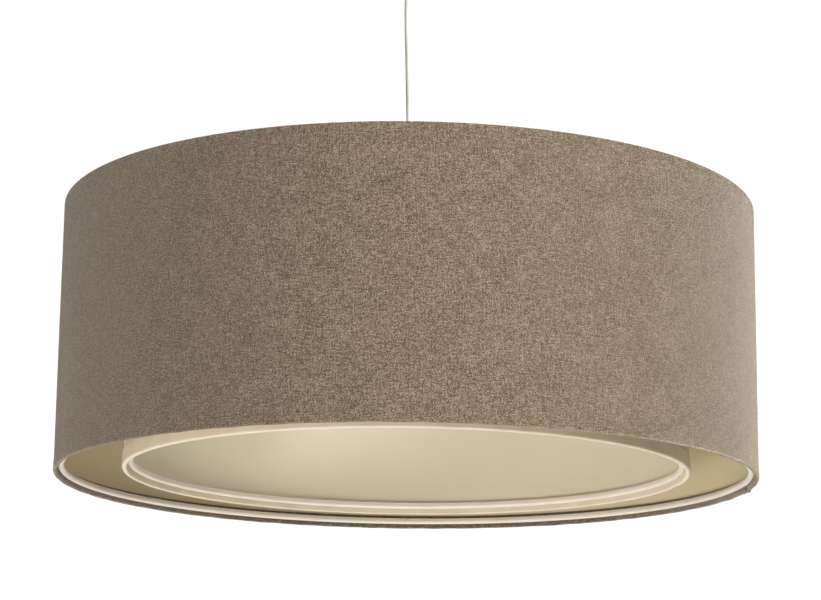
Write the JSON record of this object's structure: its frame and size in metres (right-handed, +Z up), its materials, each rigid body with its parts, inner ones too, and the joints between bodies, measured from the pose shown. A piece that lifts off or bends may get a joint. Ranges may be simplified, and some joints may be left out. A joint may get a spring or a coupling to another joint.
{
  "type": "lamp shade",
  "caption": "Double drum pendant lamp shade: a wide woven fabric drum with a lighter drum nested inside, on a screw lampholder that hangs by a round cord from a ceiling rose.",
  "frame": {"origin": "centre of the ceiling rose on the ceiling plane", "axes": "+Z up along the cord and the drums' axis; -Y towards the viewer of the front"},
  "size_m": [0.6, 0.5998, 0.51],
  "materials": {
    "taupe_fabric": "woven, matte",
    "cream_fabric": "woven, matte",
    "cream_lining": "satin",
    "trim_tape": "ribbed tape",
    "white_wire": "satin powder coat",
    "white_plastic": "satin",
    "brass": "plain",
    "zinc_steel": "zinc plated",
    "cord_white": "smooth sheath"
  },
  "bodies": {
    "ceiling_rose": {"rose_cup": "white_plastic", "ceiling_bracket": "zinc_steel", "rose_side_screws": "zinc_steel", "rose_grip": "white_plastic", "rose_grip_screw": "zinc_steel", "rose_grip_nut": "white_plastic", "terminal_block": "white_plastic", "rose_cord_tail": "cord_white"},
    "cord": {"pendant_cord": "cord_white"},
    "lampholder": {"holder_barrel": "white_plastic", "holder_cap": "white_plastic", "holder_insert": "white_plastic", "lamp_screw_shell": "brass", "centre_contact": "brass", "side_contact": "brass", "holder_terminal_screws": "brass", "holder_grip": "white_plastic", "holder_grip_screw": "zinc_steel", "holder_cord_tail": "cord_white"},
    "shades": {"outer_fabric": "taupe_fabric", "outer_lining": "cream_lining", "outer_bottom_ring": "white_wire", "outer_top_ring": "white_wire", "outer_fitter_washer": "white_wire", "inner_fabric": "cream_fabric", "inner_lining": "cream_lining", "inner_trim_tape": "trim_tape", "inner_bottom_ring": "white_wire", "inner_top_ring": "white_wire", "inner_fitter_washer": "white_wire", "outer_spoke_1": "white_wire", "outer_spoke_2": "white_wire", "outer_spoke_3": "white_wire", "inner_spoke_1": "white_wire", "inner_spoke_2": "white_wire", "inner_spoke_3": "white_wire"},
    "clamp_ring": {"shade_ring": "white_plastic"}
  },
  "joints": [
    {"name": "cord_swing", "type": "hinge", "parent": "ceiling_rose", "child": "cord", "pos_m": [0, 0, -0.034], "axis": [1, 0, 0], "range_deg": [-12, 12]},
    {"name": "shade_tilt", "type": "hinge", "parent": "cord", "child": "lampholder", "pos_m": [0, 0, -0.266], "axis": [0, 1, 0], "range_deg": [-12, 12]},
    {"name": "shades_lower", "type": "slide", "parent": "lampholder", "child": "shades", "axis": [0, 0, -1], "range_m": [0, 0.012]},
    {"name": "ring_unscrew", "type": "hinge", "parent": "shades", "child": "clamp_ring", "pos_m": [0, 0, -0.326], "axis": [0, 0, -1], "range_deg": [0, 1450]}
  ],
  "couplings": [
    {"joint": "ring_unscrew", "follows": "shades_lower", "rad_per_m": 2094.4}
  ]
}
